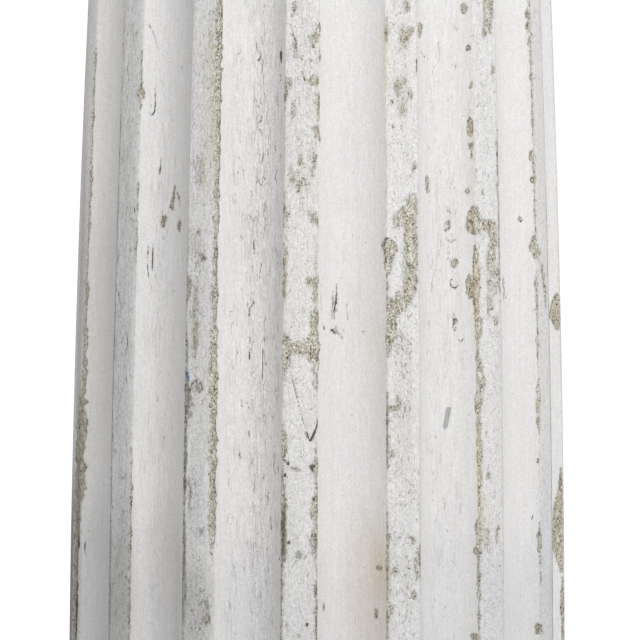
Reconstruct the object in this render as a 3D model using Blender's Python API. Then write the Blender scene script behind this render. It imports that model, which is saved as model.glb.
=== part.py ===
"""One-metre length of a fluted timber column shaft, painted off-white and cut square at both ends.

Metres, +Z up. The origin is the centre of the sawn underside, and -Y is the side seen from the front.
"""

import math

import bmesh
import bpy
from mathutils import Matrix, Vector

# Shaft
SHAFT_LENGTH = 1.000
FULLEST_DIAMETER = 0.360  # over the fillets, from the underside up to the fullest height
TOP_DIAMETER = 0.307  # over the fillets, at the sawn top
FULLEST_HEIGHT = 0.163  # the shaft is straight up to here, and curves inwards above

# Flutes, at the fullest diameter; they narrow with the shaft
FLUTE_COUNT = 16
FILLET_WIDTH = 0.024  # along the round of the shaft, from arris to arris
FLUTE_DEPTH = 0.0127  # below the straight line between a flute's two arrises
FILLET_TURN = -3.7  # degrees from the front to the middle of the nearest fillet, positive towards +X

# Facets
FLUTE_FACETS = 8
FILLET_FACETS = 2
TAPER_STEPS = 12

# Paint
PAINT_COLOUR = (0.76, 0.75, 0.72, 1.0)
PAINT_ROUGHNESS = 0.62


def clear_scene():
    for obj in list(bpy.data.objects):
        bpy.data.objects.remove(obj, do_unlink=True)


def paint_material():
    material = bpy.data.materials.new("off_white_paint")
    material.use_nodes = True
    surface = material.node_tree.nodes["Principled BSDF"]
    surface.inputs["Base Color"].default_value = PAINT_COLOUR
    surface.inputs["Roughness"].default_value = PAINT_ROUGHNESS
    surface.inputs["Metallic"].default_value = 0.0
    material.diffuse_color = PAINT_COLOUR
    return material


def taper(height):
    """Size of the section at a height, as a share of its size where the shaft is fullest."""
    climbed = max(0.0, height - FULLEST_HEIGHT) / (SHAFT_LENGTH - FULLEST_HEIGHT)
    return 1 - (1 - TOP_DIAMETER / FULLEST_DIAMETER) * climbed**2


def on_shaft(angle, radius):
    """Point at a distance from the axis, with angles from the front towards +X."""
    return Vector((radius * math.sin(angle), -radius * math.cos(angle), 0.0))


def section_points():
    """Outline of the fullest section: each fillet lies on the shaft's round, and each flute is a circular hollow."""
    radius = FULLEST_DIAMETER / 2
    pitch = math.tau / FLUTE_COUNT
    fillet_half = FILLET_WIDTH / FULLEST_DIAMETER
    flute_half = pitch / 2 - fillet_half
    half_chord = radius * math.sin(flute_half)
    hollow_radius = (half_chord**2 + FLUTE_DEPTH**2) / (2 * FLUTE_DEPTH)
    hollow_centre = radius * math.cos(flute_half) + hollow_radius - FLUTE_DEPTH
    hollow_half = math.atan2(half_chord, hollow_radius - FLUTE_DEPTH)
    points = []
    for number in range(FLUTE_COUNT):
        fillet = math.radians(FILLET_TURN) + number * pitch
        for step in range(FILLET_FACETS + 1):
            points.append(on_shaft(fillet + fillet_half * (2 * step / FILLET_FACETS - 1), radius))
        flute = fillet + pitch / 2
        centre = on_shaft(flute, hollow_centre)
        for step in range(1, FLUTE_FACETS):
            sweep = hollow_half * (1 - 2 * step / FLUTE_FACETS)
            points.append(centre - on_shaft(flute + sweep, hollow_radius))
    return points


def levels():
    """Heights of the rings above the underside: the straight foot, then even steps up the taper."""
    heights = [FULLEST_HEIGHT]
    for step in range(1, TAPER_STEPS + 1):
        heights.append(FULLEST_HEIGHT + (SHAFT_LENGTH - FULLEST_HEIGHT) * step / TAPER_STEPS)
    return heights


def make_shaft():
    """The section is drawn once and pulled upwards, drawn in at each level by the taper."""
    bm = bmesh.new()
    top = bm.faces.new([bm.verts.new(point) for point in section_points()])
    reached = 0.0
    for height in levels():
        pulled = bmesh.ops.extrude_face_region(bm, geom=[top, *top.edges])["geom"]
        verts = [part for part in pulled if isinstance(part, bmesh.types.BMVert)]
        top = next(part for part in pulled if isinstance(part, bmesh.types.BMFace))
        drawn_in = taper(height) / taper(reached)
        move = Matrix.Translation((0.0, 0.0, height - reached))
        bmesh.ops.transform(bm, matrix=move @ Matrix.Diagonal((drawn_in, drawn_in, 1.0, 1.0)), verts=verts)
        reached = height
    bmesh.ops.recalc_face_normals(bm, faces=bm.faces)
    mesh = bpy.data.meshes.new("shaft")
    bm.to_mesh(mesh)
    bm.free()
    mesh.shade_smooth()
    mesh.set_sharp_from_angle(angle=math.radians(32))
    shaft = bpy.data.objects.new("shaft", mesh)
    shaft.data.materials.append(paint_material())
    bpy.context.scene.collection.objects.link(shaft)


def main():
    clear_scene()
    make_shaft()


main()
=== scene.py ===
import math
import random

import bmesh
import bpy
import numpy as np
from mathutils import Matrix, Vector
from mathutils.bvhtree import BVHTree
from mathutils.geometry import barycentric_transform


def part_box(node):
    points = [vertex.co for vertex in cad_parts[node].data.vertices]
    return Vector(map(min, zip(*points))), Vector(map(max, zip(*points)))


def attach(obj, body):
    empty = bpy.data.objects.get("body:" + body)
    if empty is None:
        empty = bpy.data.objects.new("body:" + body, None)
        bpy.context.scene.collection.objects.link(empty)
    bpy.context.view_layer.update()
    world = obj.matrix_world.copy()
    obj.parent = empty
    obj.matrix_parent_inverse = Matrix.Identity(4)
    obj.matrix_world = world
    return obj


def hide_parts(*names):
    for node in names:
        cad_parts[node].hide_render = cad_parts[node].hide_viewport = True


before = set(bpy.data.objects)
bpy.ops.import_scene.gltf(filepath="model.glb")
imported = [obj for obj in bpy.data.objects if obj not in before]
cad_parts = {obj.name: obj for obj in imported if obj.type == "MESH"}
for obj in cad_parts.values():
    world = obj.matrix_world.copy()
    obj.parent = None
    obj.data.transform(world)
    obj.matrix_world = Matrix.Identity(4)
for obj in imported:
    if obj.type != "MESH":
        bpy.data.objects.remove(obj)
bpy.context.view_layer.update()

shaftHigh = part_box("shaft")[1]
mm = 0.001

shaftForm = {
    "length": shaftHigh.z,
    "fullRadius": shaftHigh.x,
    "topRadius": 0.1535,
    "straightTo": 0.163,      # the shaft tapers above this height
    "flutes": 16,
    "filletWidth": 0.024,
    "fluteDepth": 0.0127,     # below the line between two arrises
    "turn": -3.7,             # degrees, from the front to the middle of fillet D
    "arrisReach": 1.8,        # mm either side of an arris that its rounding takes up
    "arrisRounding": 0.5,     # mm that it takes off the corner
    "wander": 0.25,           # mm that the hand-worked surface wanders in
}

photoView = {
    "distance": 1.8,
    "aside": 0.0016,
    "height": 0.5,
    "roll": 0.24,             # degrees
    "focalPixels": 2480,
    "pixels": 640,
    "sensor": 36.0,
}

# Fillets are lettered from the photograph's left, and a flute has the letters of the fillets beside it
filletNumber = {"A": -3, "B": -2, "C": -1, "D": 0, "E": 1, "F": 2, "G": 3}


# The camera comes first, because the wear is placed through it

def makeCamera():
    seen = bpy.data.cameras.new("photoCamera")
    seen.sensor_width = photoView["sensor"]
    seen.lens = photoView["sensor"] * photoView["focalPixels"] / photoView["pixels"]
    camera = bpy.data.objects.new("photoCamera", seen)
    stand = Matrix.Translation((photoView["aside"], -photoView["distance"], photoView["height"]))
    level = Matrix.Rotation(math.pi / 2, 4, "X")
    camera.matrix_world = stand @ level @ Matrix.Rotation(math.radians(photoView["roll"]), 4, "Z")
    bpy.context.scene.collection.objects.link(camera)
    bpy.context.scene.camera = camera
    return camera.matrix_world.copy()


cameraPlace = makeCamera()
print("camera placed")


# The shaft's form: a flat sheet, measured round and up, is wrapped into the fluted tube

pitch = math.tau / shaftForm["flutes"]
halfFillet = shaftForm["filletWidth"] / 2
fluteAngle = pitch / 2 - halfFillet / shaftForm["fullRadius"]
halfChord = shaftForm["fullRadius"] * math.sin(fluteAngle)
hollowRadius = (halfChord ** 2 + shaftForm["fluteDepth"] ** 2) / (2 * shaftForm["fluteDepth"])
hollowCentre = shaftForm["fullRadius"] * math.cos(fluteAngle) + hollowRadius - shaftForm["fluteDepth"]
hollowHalf = math.atan2(halfChord, hollowRadius - shaftForm["fluteDepth"])
fluteGirth = 2 * hollowHalf * hollowRadius
bandGirth = shaftForm["filletWidth"] + fluteGirth       # one fillet and one flute
girth = bandGirth * shaftForm["flutes"]


def sizeAt(up):
    tapering = shaftForm["length"] - shaftForm["straightTo"]
    climbed = np.maximum(0, up - shaftForm["straightTo"]) / tapering
    return 1 - (1 - shaftForm["topRadius"] / shaftForm["fullRadius"]) * climbed ** 2


def inBandOf(across):                                   # 0 is the middle of a fillet
    return across - np.floor(across / bandGirth + 0.5) * bandGirth


def pastArris(across):                                  # mm from the nearest arris, under 0 on a fillet
    return (np.abs(inBandOf(across)) - halfFillet) / mm


def arrisPlace(fillet, side):
    return filletNumber[fillet] * bandGirth + side * halfFillet


def wrapped(across, up, sunk):
    inBand = inBandOf(across)
    middle = np.floor(across / bandGirth + 0.5) * pitch + math.radians(shaftForm["turn"])
    side = np.where(inBand >= 0, 1.0, -1.0)
    sweep = (np.abs(inBand) - halfFillet) / hollowRadius - hollowHalf   # 0 is the flute's deepest line
    fluteMiddle = middle + side * pitch / 2
    inwards = fluteMiddle + np.pi - side * sweep        # from the hollow's centre to the surface
    angle = middle + inBand / shaftForm["fullRadius"]
    onFillet = np.abs(inBand) <= halfFillet
    x = np.where(onFillet, shaftForm["fullRadius"] * np.sin(angle),
                 hollowCentre * np.sin(fluteMiddle) + hollowRadius * np.sin(inwards)) * sizeAt(up)
    y = np.where(onFillet, -shaftForm["fullRadius"] * np.cos(angle),
                 -hollowCentre * np.cos(fluteMiddle) - hollowRadius * np.cos(inwards)) * sizeAt(up)
    intoFlute = np.clip(pastArris(across) / 3, 0, 1)
    radial = np.hypot(x, y)
    normalX = (1 - intoFlute) * x / radial - intoFlute * np.sin(inwards)
    normalY = (1 - intoFlute) * y / radial + intoFlute * np.cos(inwards)
    reach = sunk / np.hypot(normalX, normalY)
    return np.column_stack((x - reach * normalX, y - reach * normalY, up))


# Smooth random field over the sheet, which meets itself at the seam

fieldTable = np.random.default_rng(6).random((2048, 2048)) * 2 - 1


def unevenness(across, up, wide, tall, seed):           # -1 to 1, with lumps of the given size in mm
    count = round(girth / mm / wide)
    column, row = across / girth * count, up / mm / tall
    left, low = np.floor(column), np.floor(row)
    a, b = column - left, row - low
    a, b = a * a * (3 - 2 * a), b * b * (3 - 2 * b)

    def corner(dx, dy):
        return fieldTable[(np.mod(left + dx, count).astype(int) + seed * 131) % 2048,
                          (low + dy + seed * 57).astype(int) % 2048]

    lower = corner(0, 0) * (1 - a) + corner(1, 0) * a
    upper = corner(0, 1) * (1 - a) + corner(1, 1) * a
    return lower * (1 - b) + upper * b


# Wear as the photograph shows it. Places are the photograph's pixels, and sizes are mm on the surface.

bareSpots = {               # paint lost down to the timber: x, y, wide, tall
    "filletB": [(136, 34, 1.2, 1.2), (131, 487, 1.6, 1.4), (123, 512, 2, 1.6)],
    "fluteBC": [(141, 94, 5.5, 9), (160, 170, 1.5, 2), (163.5, 219, 4.5, 5), (162.5, 224, 3.6, 6),
                (179, 226, 2.8, 7)],
    "filletC": [(207, 619, 5.5, 5), (195, 347, 3, 9), (198, 232, 3, 3), (203, 258, 3.4, 3),
                (190, 285, 3, 5)],
    "fluteCD": [(240, 454, 1.2, 3)],
    "topD": [(294, 7, 2.2, 6), (294.5, 46, 2.4, 4.4), (297, 55, 2.4, 2.4), (301.5, 57, 2, 2),
             (319.4, 31, 5, 9), (313.5, 39, 6, 6.4), (312, 44, 2, 3), (320, 54, 2, 7), (312, 61, 4, 1.4),
             (314, 80, 7, 6), (311, 83, 2, 2), (289, 82, 3, 5), (293, 111, 3, 8), (319, 99, 2, 3),
             (319, 112, 1.5, 5), (313, 127, 1.4, 1.4), (317, 132, 4, 6), (320, 139, 2, 3)],
    "middleD": [(300, 162, 2, 5), (307, 158, 1.2, 1.2), (314, 163, 1.6, 7), (312, 172, 1.8, 3),
                (291, 172, 2, 6), (293, 180, 2, 5), (299, 186, 3.5, 7), (303, 181, 1.6, 2),
                (314, 217, 4, 6), (309, 213, 2, 2), (317, 222, 2, 3), (286, 211, 1.5, 6),
                (286, 251, 2, 4), (309, 282, 2.4, 4)],
    "lowD": [(288, 464, 1.2, 1.4), (285, 475, 1, 1.4), (289, 543, 1, 1), (279, 560, 1.4, 1.4),
             (307, 625, 1.4, 1.2), (287, 626, 1, 1), (298, 636, 1, 1)],
    "pitE": [(387, 246, 9, 9), (392, 249, 7, 7), (388, 256, 8, 8), (388, 264, 5.5, 12)],
    "topE": [(407, 6, 4, 7), (405, 36, 7, 6), (403, 42, 4, 6), (411, 30, 4, 4), (387, 30, 4, 5),
             (397, 85, 4, 8), (404, 82, 2.4, 5), (410, 94, 2.4, 4), (403, 110, 3.4, 6),
             (392, 101, 1.8, 2), (392, 126, 1.6, 1.6), (403, 126, 1.6, 2), (389, 83, 1, 1.4),
             (414, 164, 1.4, 2), (413, 170, 1.4, 1.4)],
    "lowE": [(391, 454, 4, 4), (395, 544, 1, 1), (395, 572, 4, 4), (414, 540, 3.4, 4), (414, 596, 4, 5),
             (391, 611, 3, 5), (391, 592, 1.2, 1.6), (394, 408, 8, 3), (398, 402, 2, 5),
             (416, 565, 1.4, 8)],
    "fluteDE": [(339, 338, 1.3, 1.8), (342.5, 338, 1.3, 1.8), (363, 333, 1.3, 1.6), (376, 614, 2.4, 4),
                (379, 568, 3, 1.6), (324, 607, 1.2, 4)],
    "fluteEF": [(420, 30, 8, 9), (422.4, 27, 4, 5), (456, 66, 1.4, 3), (456, 29, 2, 2.4),
                (427, 181, 3.4, 5), (428, 189, 3, 4), (448, 222, 2.4, 1.6), (446, 229, 2, 1.6),
                (451, 227, 1.6, 1.6), (454.5, 263, 4.5, 6), (455, 322, 2.2, 7)],
    "topF": [(464, 8, 5, 8), (468, 49, 3.2, 4), (471, 85, 2, 3), (493, 71, 1.8, 5), (482, 84, 1.6, 1.6),
             (485, 102, 1.6, 1.6), (470, 122, 3.6, 6), (470, 132, 4.6, 8), (471, 146, 3, 5),
             (471, 156, 2.4, 4), (467, 191, 2, 3), (478, 192, 1.6, 1.4), (483, 192, 1.4, 1.2),
             (490, 192, 1.4, 1.2)],
    "lowF": [(489, 283, 3.4, 5), (497, 275, 3, 6), (497, 287, 3, 6), (496, 318, 7, 2), (496, 322, 3, 3),
             (489, 475, 5, 3), (499, 527, 2.6, 3), (497, 535, 2, 5), (487, 546, 5, 3), (474, 637, 5, 5),
             (479, 639, 4, 4)],
    "fluteFG": [(520.5, 220, 3, 3.4), (504, 288, 1.4, 8)],
    "filletG": [(528, 14, 3, 8), (528, 26, 4, 6), (530, 43, 3.4, 6), (531.5, 77, 3, 3), (532, 155, 5, 7),
                (533, 180, 4, 4), (537, 283, 3, 8), (537, 298, 3, 2), (537, 311, 4.6, 3),
                (534, 241, 4, 6), (535, 248, 8, 7), (538, 254, 10, 8), (539, 461, 2.4, 2.4),
                (539, 627, 7, 5), (541, 631, 7, 4)],
}

bareStrokes = {             # longer losses, each a run of points: x, y, wide
    "flakeLegBC": [(174.5, 187, 0.8), (173, 197, 3), (171.5, 208, 2.6)],
    "flakeLegBCRight": [(175, 188, 0.8), (178, 196, 1.2), (180, 206, 0.8)],
    "acrossD": [(284, 346, 5), (290, 349, 6), (300, 349, 6.5), (310, 348, 7.5), (317, 348, 9)],
    "acrossDLeft": [(287, 350, 4), (289, 360, 3), (291, 366, 1.2)],
    "acrossDRight": [(311, 352, 5), (317, 360, 4), (319, 366, 1.6)],
    "patchE": [(412, 200, 7), (412, 206, 8), (410, 214, 9), (410, 225, 9.5), (411, 236, 9),
               (411.5, 248, 8.4), (412.4, 262, 7.4), (411.5, 276, 7.6), (410.5, 288, 8.8),
               (407, 299, 5.6), (404, 307, 4)],
    "armE": [(404, 211, 5), (398, 217, 5), (396.5, 225, 3)],
    "lowPatchE": [(392, 300, 2.4), (392, 310, 5.5), (392, 322, 7), (391, 335, 7), (389, 347, 4.2),
                  (388, 355, 1.8)],
    "linkE": [(398, 297, 3), (398, 306, 4.6), (394, 314, 4.6)],
    "patchF": [(475.5, 210, 6), (473.5, 217, 9.4), (472.5, 226, 9.4), (474, 232, 4)],
    "armF": [(476, 222, 8), (484, 224.5, 7.4), (492, 226.5, 8.4), (494, 235, 7), (494.4, 246, 4)],
    "dropF": [(493.6, 248, 4), (491.6, 258, 7.4), (491.6, 266, 7.4), (493, 274, 4)],
    "stripF": [(475, 247, 1.6), (476, 258, 4.2), (476.4, 272, 5.4), (476, 286, 5.8), (476.4, 300, 4.8),
               (477, 315, 4.0), (477.6, 330, 3.2), (478, 345, 3.8), (478, 351, 2.0)],
    "sideStripF": [(470, 274, 1.8), (468, 282, 3.6), (470, 290, 4.6), (470, 297, 2.6)],
    "rightStripF": [(489, 298, 3.2), (490, 306, 4.6), (489, 314, 2.4)],
    "strandF": [(481, 318, 1.4), (481, 336, 1.8)],
    "lowStripF": [(478, 357, 2.4), (480, 367, 5.6), (481, 380, 7), (480, 392, 5.6), (479, 402, 6.6),
                  (479, 414, 4)],
    "thinStripF": [(478.6, 413, 2.4), (479, 425, 2.6), (480, 446, 2.8), (480, 462, 2.8), (480, 476, 2.4),
                   (480, 500, 1.9), (480, 520, 1.7)],
    "crossF": [(479, 521, 3), (478, 526, 4.6), (480, 534, 3.6), (479, 545, 3.6), (477, 551, 4.6)],
    "thinLowF": [(479, 552, 2.8), (479, 575, 2.0), (479.4, 600, 1.8), (479.6, 630, 1.6)],
    "topPatchF": [(488, -4, 7), (488, 10, 7.5), (487, 20, 6), (485, 30, 4), (484, 36, 2)],
    "topPatchFRight": [(491, 2, 3), (491, 20, 3.4), (490, 32, 2)],
    "wedgeG": [(542, 266, 2.4), (543, 272, 6), (545, 285, 5.6), (546, 298, 4), (546, 307, 1.6)],
    "patchH": [(557, 295, 2), (557, 303, 9), (557, 315, 13), (558, 325, 7), (559, 330, 2)],
    "wedgeH": [(561, 470, 2), (561, 486, 4.6), (560, 505, 9), (559, 525, 12), (558.5, 542, 13),
               (561, 556, 8), (562, 571, 3)],
    "edgeH": [(562.6, 578, 2), (563.2, 610, 3), (563.6, 640, 2.4)],
}

# By fillet and side (-1 left, 1 right): y from and to, wide, how far onto the fillet, how broken
arrisWear = {
    ("A", 1): [(50, 205, 1.8, 0.5, 1.0), (205, 285, 1.3, 0.4, 1.5), (280, 332, 3.4, 1.2, 1.1),
               (325, 402, 6, 2.2, 0.8), (396, 436, 12, 4.6, 0.6), (426, 504, 26, 11.4, 0.35),
               (496, 550, 20, 12.5, 0.4), (540, 660, 17, 14.0, 0.45)],
    ("B", 1): [(60, 110, 1.1, 0.3, 1.6), (190, 250, 1.0, 0.3, 1.7), (455, 560, 1.1, 0.3, 1.8),
               (560, 660, 1.3, 0.3, 1.6)],
    ("C", 1): [(-20, 62, 5.0, 2.0, 0.8), (58, 94, 4.4, 1.8, 0.8), (90, 215, 3.8, 1.1, 0.9),
               (210, 262, 3.2, 1.2, 1.1), (256, 332, 3.8, 1.6, 0.9), (325, 402, 6.0, 1.5, 0.7),
               (398, 534, 5.2, 1.1, 0.5), (526, 549, 3.2, 1.2, 0.4)],
    ("C", -1): [(278, 300, 3, 1.2, 1.2), (338, 356, 2.4, 1.0, 1.0), (378, 402, 4.2, 1.9, 1.0),
                (400, 500, 2, 0.8, 1.0), (524, 582, 1.6, 0.6, 1.2)],
    ("D", -1): [(84, 102, 1.7, 0.4, 1.3), (200, 222, 1.2, 0.4, 1.5), (250, 300, 1.0, 0.4, 1.7),
                (334, 372, 4.0, 1.6, 1.0), (430, 459, 3.6, 1.0, 0.7), (475, 498, 2.0, 0.5, 1.2),
                (495, 563, 4.4, 1.1, 0.5), (563, 650, 1.0, 0.2, 1.6)],
    ("D", 1): [(92, 112, 1.5, 0.8, 1.6), (276, 320, 3.4, 1.8, 1.1), (314, 367, 6.4, 2.8, 0.6),
               (379, 393, 2.2, 0.9, 1.4), (457, 479, 3.4, 1.2, 0.9), (481, 497, 1.6, 0.6, 1.3),
               (496, 523, 4.4, 1.8, 0.7), (521, 563, 2.6, 1.2, 1.1), (568, 660, 1.4, 0.3, 1.6)],
    ("E", -1): [(24, 34, 3.0, 0.8, 1.2), (283, 302, 1.9, 0.6, 1.2), (398, 470, 1.0, 0.3, 1.7),
                (520, 640, 1.0, 0.3, 1.7)],
    ("E", 1): [(550, 570, 1.8, 0.5, 1.2)],
    ("F", 1): [(134, 200, 1.9, 0.6, 0.9), (198, 262, 1.7, 0.6, 0.9), (256, 294, 2.0, 0.8, 1.1)],
    ("G", -1): [(-20, 46, 2.4, 0.6, 1.1), (44, 80, 2.4, 0.6, 0.6), (80, 150, 1.2, 0.2, 1.4),
                (148, 186, 2.8, 0.6, 1.0), (186, 236, 1.3, 0.1, 1.4), (276, 293, 3.2, 0.4, 0.9),
                (296, 318, 2.0, 0.1, 1.4), (334, 352, 3.0, 0.2, 0.9), (382, 427, 3.4, 0.2, 0.7),
                (528, 552, 4.6, -0.4, 0.7), (552, 576, 1.1, 0.0, 1.5)],
}

cracks = {                  # dark lines, each a run of points: x, y, wide
    "hookBC": [(154.6, 87, 0.4), (155.4, 104, 0.6), (154.4, 112, 0.9), (152, 115, 1.0),
               (148.5, 113, 0.3)],
    "hairBC": [(149, 25, 0.7), (152, 30, 0.3), (156, 42, 0.3), (158, 51, 0.2)],
    "flakeBC": [(148.6, 246, 0.2), (147, 262, 0.3), (148.6, 278, 0.4), (152, 282, 0.3)],
    "flakeBCRight": [(152.6, 244, 0.3), (152.6, 256, 0.7), (152, 271, 0.2)],
    "dropBC": [(160.4, 158, 0.3), (160, 170, 0.5)],
    "curlB": [(124, 332, 0.5), (127, 337, 0.6), (127, 344, 0.6), (125, 352, 0.4)],
    "scratchB": [(117, 289, 0.4), (119, 300, 0.6), (122, 308, 0.4)],
    "tickB": [(134, 207, 0.6), (134, 212, 0.8)],
    "markC": [(191, 285, 0.8), (198, 284.5, 0.7), (207, 284, 0.6)],
    "flakeCDTop": [(256, 42, 0.3), (256.5, 50, 0.5), (261, 54, 0.5), (259, 60, 0.6), (256, 61, 0.3)],
    "flakeCDMiddle": [(261, 115, 0.3), (261, 121, 0.7), (256, 124, 0.5)],
    "flakeCDLow": [(256, 127, 0.4), (260, 130, 0.7), (262, 135, 0.3)],
    "flakeCDSmall": [(263, 152, 0.3), (262, 162, 0.6), (259, 163, 0.3)],
    "flakeCDEdge": [(277, 168, 0.3), (275, 176, 0.6), (276, 184, 0.3)],
    "splitCD": [(253.5, 240, 0.4), (253.8, 247, 0.8), (254, 254, 0.3)],
    "branchCD": [(249, 214, 0.3), (252, 220, 0.4), (256, 217, 0.3), (261, 227, 0.4)],
    "branchCDLow": [(250, 298, 0.3), (254, 303, 0.5), (249, 309, 0.4), (249, 316, 0.6)],
    "forkCD": [(245, 336, 0.3), (250, 338, 0.6), (250, 344, 0.5)],
    "nickCD": [(249, 350, 0.4), (249.4, 355, 1.0), (249.6, 361, 0.3)],
    "brownLineCD": [(273.6, 454, 0.3), (273.6, 472, 0.4), (274.6, 474, 0.8)],
    "aboveBandD": [(286, 338, 0.5), (293, 341, 0.6), (302, 341, 0.6), (308, 338, 0.4)],
    "hairD": [(306, 270, 0.4), (319, 270, 0.3)],
    "scratchD": [(290, 372, 0.2), (295, 390, 0.7), (299, 407, 0.2), (304, 424, 0.2), (308, 436, 0.6),
                 (310, 441, 0.8)],
    "scratchDBack": [(310.2, 441, 1.3), (313.5, 434.5, 1.4), (316.4, 427, 0.9), (317.6, 420, 0.3)],
    "ringC": [(190, 391, 0.3), (191, 384, 0.6), (196, 381, 0.5), (201, 384, 0.6), (202, 389, 0.5),
              (198, 394, 0.3)],
    "ringCInner": [(194, 388, 0.3), (197, 386, 0.5), (198, 390, 0.3)],
    "scratchDSpur": [(304, 433, 0.3), (309, 440, 0.5)],
    "slopeD": [(290, 24, 0.1), (293, 34, 0.6), (295.6, 41, 0.5), (297, 46, 0.1)],
    "footA": [(76, 530, 1.0), (75.8, 543, 5.0), (75, 556, 4.0), (75, 580, 3.0), (74, 600, 6.4),
              (73.4, 640, 5.0)],
    "footACross": [(76, 543, 3.0), (78.6, 547, 1.6)],
    "tickA": [(85, 541, 0.3), (84.6, 552, 0.5), (86.4, 556, 0.3)],
    "lineCD": [(262, 345, 0.2), (262.4, 362, 0.45), (262, 380, 0.2)],
    # pitRim and pitDark: painted shadow under the paint's edge at the top and left of the pit by fillet E
    "pitRim": [(383.2, 247, 0.6), (384.4, 241, 0.9), (388, 237.6, 0.9), (391, 239, 0.5), (396, 246, 0.3)],
    "pitDark": [(385, 248, 0.8), (385.8, 256, 1.3), (387, 262, 0.8)],
    "notchCD": [(280.3, 53.6, 3.6), (280.6, 57, 2.8), (280.9, 62, 1.0)],
    "dotsD": [(288, 463, 1.7), (288.2, 464.4, 1.5)],
    "dotDLeft": [(285, 474, 1.3), (285, 476, 1.5)],
    "dotDRight": [(313.6, 499, 1.5), (313.6, 500.6, 1.4)],
    "dotDLow": [(288.2, 542.6, 1.5), (288.8, 543.4, 1.4)],
    "dotDCorner": [(278.6, 559, 1.5), (279.4, 560.4, 1.3)],
    "dotDFoot": [(307, 624, 1.4), (307, 625.6, 1.4)],
    "hookD": [(309.4, 466, 1.0), (312, 466.2, 1.5), (314.6, 466.6, 1.6)],
    "hookDFoot": [(312, 467, 1.2), (312.4, 472, 1.0)],
    "tickD": [(302, 71, 0.4), (304, 78, 0.8), (306, 84, 0.4)],
    "diamondLeft": [(321.6, 284, 0.2), (321.4, 300, 0.4), (322, 312, 0.1)],
    "diamondCorner": [(323.6, 325, 0.6), (325, 329, 1.3)],
    "diamondFoot": [(330, 331, 0.3), (333, 330, 1.5), (336.4, 333, 0.7), (340, 334, 0.2)],
    "diamondRight": [(347, 304, 0.2), (347.6, 320, 0.3)],
    "diamondCore": [(337, 283, 0.1), (336.6, 296, 0.4), (336, 304, 0.7), (334, 312, 0.4),
                    (334, 318, 0.1)],
    "diamondTick": [(333.4, 296, 0.2), (333, 304, 0.4), (332.4, 309, 0.2)],
    "besideE": [(417.4, 34, 0.7), (418, 50, 1.3), (417, 60, 0.8), (416.6, 72, 0.4)],
    "hairEF": [(421, 51, 0.3), (425, 57, 0.4), (430, 59, 0.5)],
    "chevronEF": [(445, 237, 0.3), (451, 243, 0.6), (456, 239, 0.5)],
    "curlEF": [(450.4, 281, 0.3), (451, 286, 0.9), (454.6, 288.6, 1.0), (458.6, 285, 0.5)],
    "curlEFTop": [(451, 279.6, 0.3), (455, 278.6, 0.4)],
    "flickEF": [(453, 316, 0.5), (454, 322, 0.8), (453, 328, 0.5)],
    "curlEFLow": [(457, 338, 0.4), (461, 342, 0.6), (463, 339, 0.4)],
    "smileEF": [(451, 141, 0.3), (457, 142, 0.5)],
    "tearFG": [(504, 284, 0.4), (505, 292, 0.6), (504, 300, 0.3)],
    "tearFGRight": [(508, 293, 0.3), (506, 299, 0.5)],
    "curlFG": [(529, 516, 0.3), (533, 516, 0.5), (531, 521, 0.6), (529, 523, 0.7)],
    "ringFG": [(518.5, 218, 0.4), (521, 222, 0.7), (523, 219, 0.4)],
    "hairG": [(532, 77, 0.5), (537, 74.5, 0.5), (542, 73, 0.6)],
}

smears = {                  # dirt and dark scuffs on the paint, with painted shadow at the edges of chips and flakes, each a run of points: x, y, wide
    "smudgeD": [(288, 467.6, 1.4), (292, 468.4, 2.8), (297, 469.6, 3.2), (301, 471, 1.6)],
    "smudgeDTop": [(284, 461, 0.8), (287.6, 460.8, 1.6)],
    "smudgeDRight": [(310.6, 467, 1.2), (312.6, 469, 2.4)],
    "smudgeDMiddle": [(286.6, 505.6, 0.8), (291, 506.8, 1.2)],
    "scuffD": [(295.4, 534, 0.8), (297.4, 540, 1.6)],
    "scuffDLow": [(298.6, 551.6, 0.9), (301.8, 552.6, 1.5), (301.6, 556, 1.3), (298.8, 556.6, 1.2)],
    "edgeD": [(283.8, 500, 0.8), (283.6, 515, 2.6), (283, 530, 3.2), (282.4, 545, 2.6),
              (282.6, 562, 1.0)],
    # flakeBC to flakeBCRight: painted shadow along the flakes' edges
    "flakeBC": [(174, 189, 1.4), (172.6, 200, 2.4), (171.8, 208, 1.8)],
    "flakeBCMiddle": [(163.4, 217, 2.8), (162.6, 226, 2.2)],
    "flakeBCRight": [(179, 224, 2.0), (179, 229, 1.6)],
    "scuffDRight": [(309.6, 540, 1.4), (312, 544, 2.6), (315, 547.6, 1.6)],
    "ringFootC": [(190.4, 392, 0.8), (189.2, 399, 3.0), (188.4, 408, 2.8), (187.6, 418, 1.0)],
    "ringTopC": [(191, 383, 1.2), (196, 380.6, 1.8), (201, 384, 1.4)],
    "besideLineC": [(188.6, 477, 1.2), (190.4, 488, 3.0), (189.4, 502, 2.2), (188.4, 512, 0.8)],
    "scuffC": [(198, 529, 1.6), (203, 531.6, 2.6), (199.4, 536.6, 1.8)],
    "footC": [(205, 614, 1.0), (208.6, 617, 1.8), (209, 623, 1.4)],
    "topC": [(194, 150, 0.8), (193, 164, 2.0), (196, 172, 1.6)],
    "middleC": [(197, 250, 1.4), (203, 258, 2.2), (199, 263, 1.2)],
    "diamond": [(336.8, 285, 0.5), (336.6, 295, 1.7), (335.8, 305, 2.2), (334.4, 315, 0.8)],
    "diamondFoot": [(330, 330.6, 1.0), (334, 331.8, 2.0), (341, 333.6, 1.2)],
    # pitE, patchF and chipBC: painted shadow at the top and left edges of the pit and chips
    "pitE": [(385.4, 243, 1.6), (385, 250, 2.0), (387, 259, 1.4)],
    "patchF": [(473, 211.6, 1.4), (477.6, 211.4, 1.8)],
    "chipBC": [(139.4, 90, 1.6), (140.4, 97, 2.2)],
}

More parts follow.
